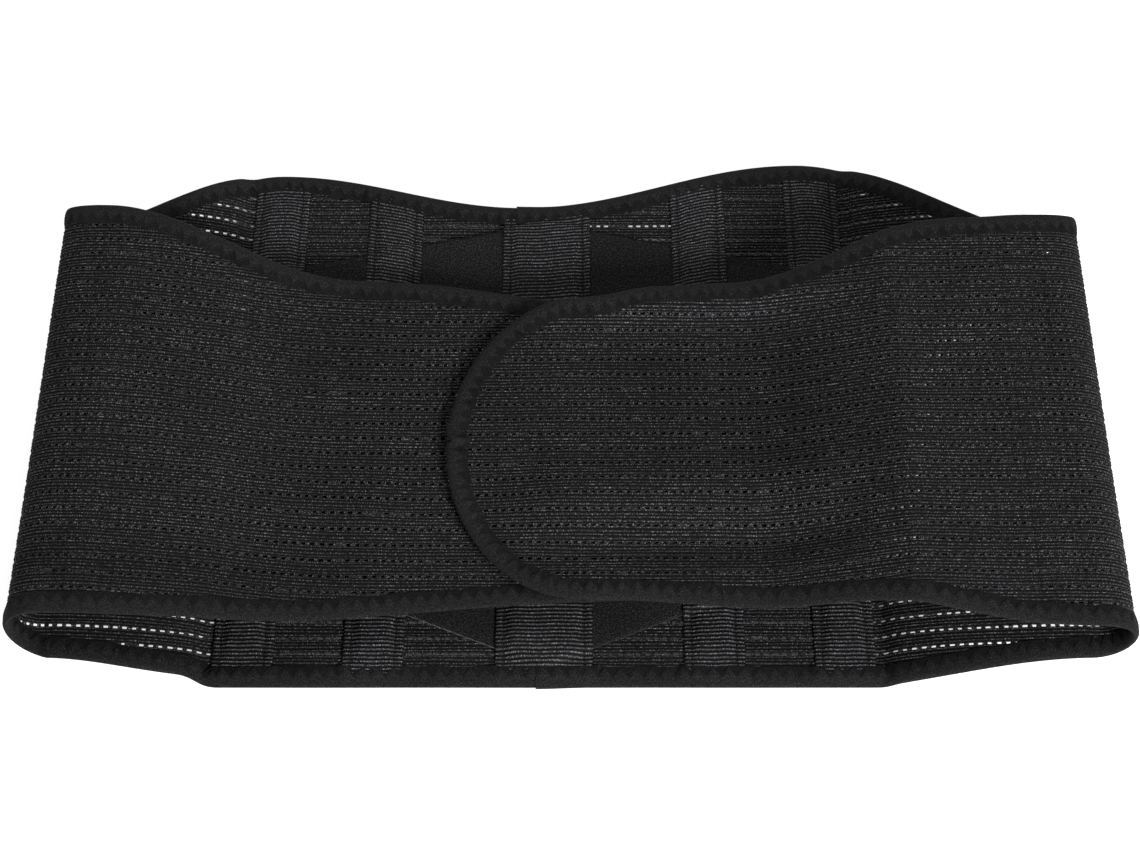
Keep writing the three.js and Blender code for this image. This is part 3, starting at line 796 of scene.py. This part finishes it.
def end_path(side, start):
    """Path round a front's end, from its rib edge to its hip edge."""
    low, high = edges(side)
    tip, length, depth = FRONT_END[side]
    shoulder = along_front(side, tip) - length
    straight = np.linspace(start, shoulder, max(3, int(shoulder - start)))
    turn = np.linspace(0, np.pi / 2, 60)[1:]
    round_end = shoulder + length * np.sin(turn)
    drop = depth * (1 - np.cos(turn))
    halves = []
    for edge, inwards in ((high, -1), (low, 1)):
        flat = np.stack([straight, edge(straight)], -1)
        bent = np.stack([round_end, edge(shoulder) + inwards * drop], -1)
        halves.append(np.concatenate([flat, bent]))
    down, up = halves[0], halves[1][::-1]
    if np.linalg.norm(down[-1] - up[0]) < 0.01:
        up = up[1:]
    return np.concatenate([down, up])


TAPE_JOINT = {"top": -25, "bottom": -14}  # where the tape's two ends lap, in the middle of the back
BACK_TAPE_END = 185
for side in ("left", "right"):
    front = along_front(side, MIRROR[side] * SIDE_STITCH_X)
    for which, edge in ((1, "top"), (0, "bottom")):
        joint = TAPE_JOINT[edge] if side == "right" else -TAPE_JOINT[edge] - 2
        lap = joint if side == "right" else None
        back = edge_tape(f"back_{edge}_tape_{side}", side, which, joint, BACK_TAPE_END, "back", lap)
        fold = f"{side}_fold_{edge}_tape"
        lower = edge_tape(f"{fold}_back", side, which, BACK_TAPE_END, ARC_MIDDLE, None)
        bend(lower, side)
        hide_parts(f"{side}_side_{edge}_binding")
        upper = edge_tape(f"{fold}_front", side, which, ARC_MIDDLE, front, None)
        bend(upper, side)
        if side == "right":
            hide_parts(f"back_{edge}_binding")
            seam = along_front(side, FLAP_SEAM_X)
            wing = edge_tape(f"right_front_{edge}_tape", side, which, front, seam, "right_wing")
            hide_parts(f"right_front_{edge}_binding")

flap_path = end_path("right", along_front("right", FLAP_SEAM_X))[::-1]
flap_tape = tape("closure_tape", "right", flap_path, None, pucker=-17)
bend_flap(flap_tape)
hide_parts("closure_binding")
left_path = end_path("left", along_front("left", -SIDE_STITCH_X))[::-1]
left_tape = tape("left_front_tape", "left", left_path, "left_wing")
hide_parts("left_front_binding")


# ---- Seams of the side stays' pockets ----

def dashes(a, b, pitch=2.9, share=0.8):
    """Starts and ends of stitches from a to b, in (x, height)."""
    length = np.linalg.norm(b - a)
    count = max(1, int(length / pitch))
    at = np.arange(count)[:, None] / count
    step = share / count
    return a + (b - a) * at, a + (b - a) * (at + step)


def upright_seams(places, low, high):
    """Stitches of the seams that run up the belt at some places, from low(x) to high(x)."""
    lines = [dashes(np.array([x, float(low(x))]), np.array([x, float(high(x))])) for x in places]
    return [np.concatenate(v) for v in zip(*lines)]


def stitch_line(starts, ends, point, bow, radius=0.24, up=(0, 0, 1), tone=1.0):
    first, last = point(starts), point(ends)
    lift = np.broadcast_to(np.array(up, float) * bow, first.shape)
    return stitches(first, last, lift, radius, tone)


for side in ("left", "right"):
    def on_front(p, side=side):
        return place(side)(along_front(side, p[:, 0]), p[:, 1], ELASTIC_HALF + 0.02)

    foot = lambda x, side=side: front_bottom[side](x) + TAPE_WIDTH
    head = lambda x, side=side: front_top[side](x) - TAPE_WIDTH
    starts, ends = upright_seams([MIRROR[side] * x for x in pocket_lines()], foot, head)
    seams = stitch_line(starts, ends, on_front, 0.12, 0.2, tone=0.5)
    piece(f"{side}_pocket_seams", [seams], [THREAD], f"{side}_wing")


# ---- Pad ----

PAD_FLOOR = 0.6
PAD_TOP_POINT, PAD_TOP_SIDE = 103.5, 79
PAD_BOTTOM_POINT, PAD_BOTTOM_SIDE = -115, -66
PAD_EDGE_TONES = (2.5, 1, 1, 1, 1, 7)  # the thread along its hip edges is paler


def pad_edges(x):
    out = np.clip(np.abs(x - BACK_CENTER) / PAD_HALF_WIDTH, 0, 1)
    top = PAD_TOP_POINT + (PAD_TOP_SIDE - PAD_TOP_POINT) * out
    bottom = PAD_BOTTOM_POINT + (PAD_BOTTOM_SIDE - PAD_BOTTOM_POINT) * out
    return bottom, top


def pad_depth(x, height):
    """Distance inside the pad's outline, in mm."""
    bottom, top = pad_edges(x)
    slope = math.cos(math.atan2(45, PAD_HALF_WIDTH))
    side = PAD_HALF_WIDTH - np.abs(x - BACK_CENTER)
    return np.minimum(np.minimum((top - height) * slope, (height - bottom) * slope), side)


def pad_rise(x, height):
    return PAD_THICKNESS * smooth(pad_depth(x, height), -2.5, 1.5)


def back_point(x, height, lift):
    """A point over the inside of the back panel."""
    x, height, lift = np.broadcast_arrays(x, height, lift)
    return np.stack([x * (1 - SIDE_TAPER * height), height + HEIGHT_SHIFT, BACK_LEVEL + lift], -1)


def make_pad():
    columns = BACK_CENTER + PAD_HALF_WIDTH * np.concatenate([
        [-1, -0.997, -0.99, -0.98], np.linspace(-0.965, 0.965, 121), [0.98, 0.99, 0.997, 1],
    ])
    rows = np.concatenate([
        [0, 0.003, 0.009, 0.018], np.linspace(0.03, 0.97, 110), [0.982, 0.991, 0.997, 1],
    ])
    x = np.broadcast_to(columns[:, None], (len(columns), len(rows)))
    bottom, top = pad_edges(x)
    height = bottom + (top - bottom) * rows[None, :]
    depth = np.clip(pad_depth(x, height), 0, None)
    edge = np.sqrt(1 - np.clip(1 - depth / 1.6, 0, 1) ** 2)
    seam = 0.35 * hump(depth, 2.6, 0.7)
    crown = 0.22 * waves(x, height, 7.0) * smooth(depth, 3, 20)
    lift = PAD_FLOOR + (PAD_THICKNESS - 0.1) * (0.25 + 0.75 * edge) - seam + crown
    under = np.full_like(lift, PAD_FLOOR)
    mesh = shell(back_point(x, height, lift), back_point(x, height, under))
    left, right = BACK_CENTER - PAD_HALF_WIDTH, BACK_CENTER + PAD_HALF_WIDTH
    corners = np.array([
        (BACK_CENTER, PAD_BOTTOM_POINT), (right, PAD_BOTTOM_SIDE), (right, PAD_TOP_SIDE),
        (BACK_CENTER, PAD_TOP_POINT), (left, PAD_TOP_SIDE), (left, PAD_BOTTOM_SIDE),
    ])
    middle = corners.mean(0)
    seams = []
    for k, edge_tone in enumerate(PAD_EDGE_TONES):
        a, b = corners[k], corners[(k + 1) % 6]
        inner_a = a + (middle - a) * 0.029
        inner_b = b + (middle - b) * 0.029
        for ends, lift_at, bow, radius, tone in (
            (dashes(inner_a, inner_b), PAD_FLOOR + PAD_THICKNESS - 0.45, 0.2, 0.2, 1.0),
            (dashes(a, b, 5.0, 0.99), PAD_FLOOR + 0.7, 0.1, 0.3, edge_tone),
        ):
            over = lambda p, lift_at=lift_at: back_point(p[:, 0], p[:, 1], lift_at)
            seams.append(stitch_line(*ends, over, bow, radius, tone=tone))
    made = piece("lumbar_pad_cover", [mesh, *seams], [PAD, THREAD], "back")
    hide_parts("lumbar_pad")


make_pad()


# ---- Webbing sleeves and stays ----

STAY_FLOOR = 0.12
STAY_ROOM = 6.5  # from a sleeve's edge to its stay
SLEEVE_END = 5.0  # from the belt's edge, under the tape
CLOTH_FACE = 0.6  # of the elastic, over its middle
# The tone of each line paints a highlight on each rib's crest and shade in its grooves.
WEBBING_PROFILE = [  # (share of a rib's pitch, rise, tone)
    (0.0, 0.0, 0.0), (0.24, 0.45, 0.06), (0.48, 1.0, 2.9), (0.68, 0.85, 1.2), (0.88, 0.2, 0.02),
]


def sleeve_profile(across, width):
    """Height of a sleeve's middle over its base: flat where it is sewn, arched over the stay."""
    return 1.25 * smooth(width / 2 - np.abs(across), STITCH_MARGIN, STAY_ROOM + 1.0)


def webbing_columns(half):
    """Places across a sleeve of its columns of points, closest at its edges and seams."""
    edge = -half + np.array([0, 0.4, 1.2, 2.4, STITCH_MARGIN, 4.4])
    middle = np.linspace(-half + 5.6, half - 5.6, max(9, int(half)))
    return np.concatenate([edge, middle, -edge[::-1]])


def sleeve(name, x, width, low, high, at, base, body):
    """A webbing sleeve running up the belt at x; at maps (x, height, lift) to the frame."""
    half = width / 2
    columns = webbing_columns(half)
    reach = half - STITCH_MARGIN
    at_seam = np.abs(np.abs(columns) - reach) < 0.01
    ribs = int((float(high(x)) - float(low(x))) / WEBBING_RIB)
    phases, bumps, tones = (np.array(v) for v in zip(*WEBBING_PROFILE))
    rows = np.append((np.arange(ribs)[:, None] + phases).ravel(), ribs) / ribs
    across, share = np.meshgrid(columns, rows, indexing="ij")
    rng = np.random.default_rng(int(abs(x) * 7) + 3)
    bump = np.append(np.tile(bumps, ribs), 0) * (1 + rng.normal(0, 0.10, across.shape))
    tone = np.append(np.tile(tones, ribs), 0) * np.where(at_seam, 0.3, 1.0)[:, None]
    tone = tone * np.where(np.abs(across) > half - 0.1, 0.25, 1.0)
    foot, head = low(x + across), high(x + across)
    height = foot + (head - foot) * share
    height = np.clip(height + 0.12 * np.sin(across / 2.6 + height / 15.0), foot, head)
    rim = 1 - smooth(np.abs(across), half - 0.9, half)
    fade = smooth(height - foot, 4, 17) * smooth(head - height, 4, 17)
    spine = base(x + across, height) + sleeve_profile(across, width) * fade + WEBBING_HALF
    spine = spine - 0.25 * at_seam[:, None] + 0.10 * np.sin(height / 21.0 + x)
    thick = WEBBING_HALF * (0.35 + 0.65 * rim)
    above = at(x + across, height, spine + thick + 0.42 * bump * (0.45 + 0.55 * rim))
    below = at(x + across, height, spine - thick)
    webbing = shell(above, below, None, grid_cloth(across + 3 * x, height, tone))
    starts, ends = upright_seams((x - reach, x + reach), low, high)

    def on_webbing(p):
        return at(p[:, 0], p[:, 1], base(p[:, 0], p[:, 1]) + 2 * WEBBING_HALF - 0.12)

    up = at(x, 0.0, 2.0) - at(x, 0.0, 1.0)
    seams = stitch_line(starts, ends, on_webbing, 0.25, 0.18, up, 0.5)
    made = piece(f"{name}_webbing", [webbing, seams], [WEBBING, THREAD], body, sharp=70)
    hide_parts(f"{name}_sleeve")


def stay(name, x, width, low, high, at, base, body):
    """A flat spring-steel stay with rounded edges, and a dipped tip on each end."""
    half = width / 2 - STAY_ROOM
    section = [(-half, 0.25), (-half + 0.3, 0.0), (half - 0.3, 0.0), (half, 0.25),
               (half, 0.65), (half - 0.3, 0.9), (-half + 0.3, 0.9), (-half, 0.65)]
    caps = [(0, 1, 6, 7), (1, 2, 5, 6), (2, 3, 4, 5)]

    def strip(a, b, grow):
        heights = np.linspace(a, b, max(4, int((b - a) / 4)))
        ends = np.minimum(heights - a, b - heights)
        narrow = np.clip(ends / 2.0, 0.35, 1) if grow else np.ones_like(heights)
        rings = []
        for across, lift in section:
            wide = across * narrow + np.sign(across) * grow
            level = STAY_FLOOR + (lift - 0.45) * (1 + 1.2 * grow) + 0.45
            rings.append(at(x + wide, heights, level + base(x + wide, heights)))
        return sweep(np.stack(rings, 1), caps)

    bottom, top = float(low(x)) + 15, float(high(x)) - 15
    rod = piece(f"{name}_spring", [strip(bottom, top, 0)], [STEEL], body, sharp=50)
    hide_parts(f"{name}_stay")
    for end, span in (("bottom", (bottom - 1, bottom + 9)), ("top", (top - 9, top + 1))):
        tip = piece(f"{name}_dip_{end}", [strip(*span, 0.28)], [VINYL], body, sharp=50)
        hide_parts(f"{name}_stay_{end}_tip")


def back_base(x, height):
    return CLOTH_FACE + pad_rise(x, height)


def side_base(x, height):
    return CLOTH_FACE + 0.0 * x


on_back = {
    "low": lambda x: back_bottom(x) + SLEEVE_END,
    "high": lambda x: back_top(x) - SLEEVE_END,
    "at": back_point,
    "base": back_base,
    "body": "back",
}
for name, offset, width in (
    ("left_outer", -SLEEVE_OFFSETS["outer"], SLEEVE_WIDTH),
    ("left_inner", -SLEEVE_OFFSETS["inner"], SLEEVE_WIDTH),
    ("center", 0, CENTER_SLEEVE_WIDTH),
    ("right_inner", SLEEVE_OFFSETS["inner"], SLEEVE_WIDTH),
    ("right_outer", SLEEVE_OFFSETS["outer"], SLEEVE_WIDTH),
):
    sleeve(name, BACK_CENTER + offset, width, **on_back)
    stay(name, BACK_CENTER + offset, width, **on_back)

for side in ("left", "right"):
    on_wing = {
        "low": lambda x, side=side: front_bottom[side](x) + SLEEVE_END,
        "high": lambda x, side=side: front_top[side](x) - SLEEVE_END,
        "at": lambda x, height, lift, side=side: place(side)(along_front(side, x), height, -lift),
        "base": side_base,
        "body": f"{side}_wing",
    }
    sleeve(f"{side}_side", MIRROR[side] * SIDE_SLEEVE_X, SLEEVE_WIDTH, **on_wing)
    stay(f"{side}_side", MIRROR[side] * SIDE_SLEEVE_X, SLEEVE_WIDTH, **on_wing)


# ---- Hook and loop ----

PATCH_MIDDLE = (FLAP_TOP + FLAP_BOTTOM) / 2


def patch_outline(inset, reach):
    """Columns of a patch from its tip to its straight end, and half its height at each."""
    tip = FLAP_TIP + inset
    turn = np.linspace(0.06, 1, 40)
    round_end = tip + FLAP_ROUND * (1 - np.cos(turn * np.pi / 2))
    columns = np.unique(np.round(np.concatenate([round_end, np.linspace(8, reach, 20)]), 4))
    columns = columns[columns <= reach]
    into = np.clip(1 - (columns - tip) / (FLAP_ROUND - inset), 0, 1)
    depth = (FLAP_TOP - FLAP_BOTTOM) / 2 - inset
    return columns, depth * np.sqrt(np.clip(1 - into ** 2, 0.0004, 1)), into


def hooks(columns, half, on_patch):
    """Rows of small hooks over a patch."""
    places = np.arange(columns[0] + 4, columns[-1] - 3, 1.7), np.arange(-70, 70, 1.9)
    x, height = (v.ravel() for v in np.meshgrid(*places, indexing="ij"))
    inside = np.abs(height) < np.interp(x, columns, half) - 3.5
    spots = np.stack([x, PATCH_MIDDLE + height], -1)[inside]
    tall = on_patch(spots, 0.9) - on_patch(spots)
    return stitches(on_patch(spots), on_patch(spots + np.array([0.85, 0.0])), tall, 0.11)


def patch(side, inset, reach, face, thickness, hooked=False):
    """Meshes of a flat patch with a rounded end on one face of a front, sewn round its edge."""
    columns, half, into = patch_outline(inset, reach)
    at = place(side)

    def on_patch(p, lift=0.0):
        return at(along_front(side, p[:, 0]), p[:, 1], face * (0.8 + thickness + lift))

    x = np.broadcast_to(columns[:, None], (len(columns), 60))
    height = PATCH_MIDDLE + half[:, None] * np.linspace(-1, 1, 60)[None]
    outer = at(along_front(side, x), height, face * (0.8 + thickness))
    under = at(along_front(side, x), height, face * 0.78)
    meshes = [shell(outer, under)]
    inner = np.maximum(half - 2, 0)
    seam_x = columns + 2 * into - 0.6
    rib_seam = np.stack([seam_x, PATCH_MIDDLE + inner], -1)
    hip_seam = np.stack([seam_x, PATCH_MIDDLE - inner], -1)
    route = resample(np.concatenate([rib_seam[::-1], hip_seam]), 2.6)
    up = face * (on_patch(route[:1], 1.0) - on_patch(route[:1]))[0]
    ends = route[:-1] + 0.8 * np.diff(route, axis=0)
    meshes.append(stitch_line(route[:-1], ends, on_patch, 0.2, 0.2, up, 0.6))
    if hooked:
        meshes.append(hooks(columns, half, on_patch))
    return meshes


hook_meshes = patch("right", 13, 32, -1, 0.6, hooked=True)
hook = piece("hook_tape", hook_meshes, [HOOK], "right_flap")
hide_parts("hook_patch")
loop = piece("loop_tape", patch("left", 20, 35, 1, 0.7), [LOOP], "left_wing")
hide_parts("loop_patch")


# ---- Stage ----

def painted_floor_glow(nodes, links):
    """Painted light from the floor, which glows though it is no lamp: full round the belt, and little
    under the middle of its back.

    The cloth's holes show this painted light at the belt's ends, and in one short row under its rib
    edge, where a painted spot of light glows.
    """
    coords = nodes.new("ShaderNodeTexCoord")
    split = nodes.new("ShaderNodeSeparateXYZ")
    links.new(coords.outputs["Object"], split.inputs["Vector"])
    x, y = split.outputs["X"], split.outputs["Y"]

    def math_of(operation, *values):
        node = nodes.new("ShaderNodeMath")
        node.operation = operation
        for socket, value in zip(node.inputs, values):
            if isinstance(value, float):
                socket.default_value = value
            else:
                links.new(value, socket)
        return node.outputs[0]

    def ramp_over(value, low, high):
        share = nodes.new("ShaderNodeMapRange")
        share.interpolation_type = "SMOOTHSTEP"
        set_inputs(share, {"From Min": low, "From Max": high})
        links.new(value, share.inputs["Value"])
        return share.outputs["Result"]

    def away(value, middle):
        return math_of("ABSOLUTE", math_of("SUBTRACT", value, middle))

    from_middle = away(x, math_of("MULTIPLY_ADD", y, 0.064, 0.003))
    beside_belt = ramp_over(math_of("MULTIPLY_ADD", y, -0.10, from_middle), 0.136, 0.166)
    crest = math_of("COSINE", math_of("MULTIPLY_ADD", x, 2 * math.pi / 0.22, 0.486))
    above = ramp_over(math_of("MULTIPLY_ADD", crest, 0.01025, y), 0.10925, 0.11325)
    below = ramp_over(math_of("MULTIPLY", y, -1.0), 0.121, 0.126)
    outside = math_of("MAXIMUM", beside_belt, math_of("MAXIMUM", above, below))
    # A painted spot of light under the rib edge, which a short row of holes shows.
    from_spot_x = ramp_over(away(x, 0.028), 0.016, 0.026)
    from_spot_y = ramp_over(away(y, 0.0955), 0.003, 0.0055)
    painted_light_spot = math_of("SUBTRACT", 0.8, math_of("MAXIMUM", from_spot_x, from_spot_y))
    strength = nodes.new("ShaderNodeMapRange")
    set_inputs(strength, {"To Min": 0.04, "To Max": 0.7})
    links.new(math_of("MAXIMUM", outside, painted_light_spot), strength.inputs["Value"])
    return strength.outputs["Result"]


FLOOR_REACH = 6.0  # metres


def stage():
    mesh = bpy.data.meshes.new("floor")
    r = FLOOR_REACH
    mesh.from_pydata([(-r, -r, 0), (r, -r, 0), (r, r, 0), (-r, r, 0)], [], [(0, 1, 2, 3)])
    floor = bpy.data.objects.new("floor", mesh)
    bpy.context.collection.objects.link(floor)
    material, nodes, links, shader = node_material("floor")
    white, painted_glow_colour = (0.8, 0.8, 0.8, 1), (1, 1, 1, 1)
    set_inputs(shader, {"Base Color": white, "Roughness": 0.9, "Emission Color": painted_glow_colour})
    # The floor's emission is painted light: it glows though the floor is no lamp.
    links.new(painted_floor_glow(nodes, links), shader.inputs["Emission Strength"])
    mesh.materials.append(material)


def area_light(name, at, size, power):
    """A rectangular light at a place in metres, aimed at the belt."""
    light = bpy.data.lights.new(name, "AREA")
    light.shape = "RECTANGLE"
    light.size, light.size_y = size
    light.energy = power
    lamp = bpy.data.objects.new(name, light)
    lamp.location = at
    aim = Vector((0, 0, 0.02)) - Vector(at)
    lamp.rotation_euler = aim.to_track_quat("-Z", "Y").to_euler()
    bpy.context.collection.objects.link(lamp)


def studio_world(strength):
    world = bpy.data.worlds.new("studio")
    world.use_nodes = True
    background = world.node_tree.nodes["Background"]
    set_inputs(background, {"Color": (1, 1, 1, 1), "Strength": strength})
    bpy.context.scene.world = world


def camera(distance, elevation, lens):
    """A camera over the hip edge, looking at the belt's middle."""
    data = bpy.data.cameras.new("camera")
    data.lens = lens
    data.sensor_width = 36
    data.clip_end = 20
    obj = bpy.data.objects.new("camera", data)
    back, up = distance * math.cos(elevation), distance * math.sin(elevation)
    obj.location = (0, HEIGHT_SHIFT * MM - back, up)
    obj.rotation_euler = (math.pi / 2 - elevation, 0, 0)
    bpy.context.collection.objects.link(obj)
    bpy.context.scene.camera = obj


stage()
area_light("key", (0.9, -1.35, 0.95), (0.8, 0.6), 42)
area_light("back", (-0.35, 1.15, 1.45), (1.6, 0.8), 13)
studio_world(0.18)
bpy.context.scene.view_settings.view_transform = "Standard"
camera(1.25, math.radians(62), 90)
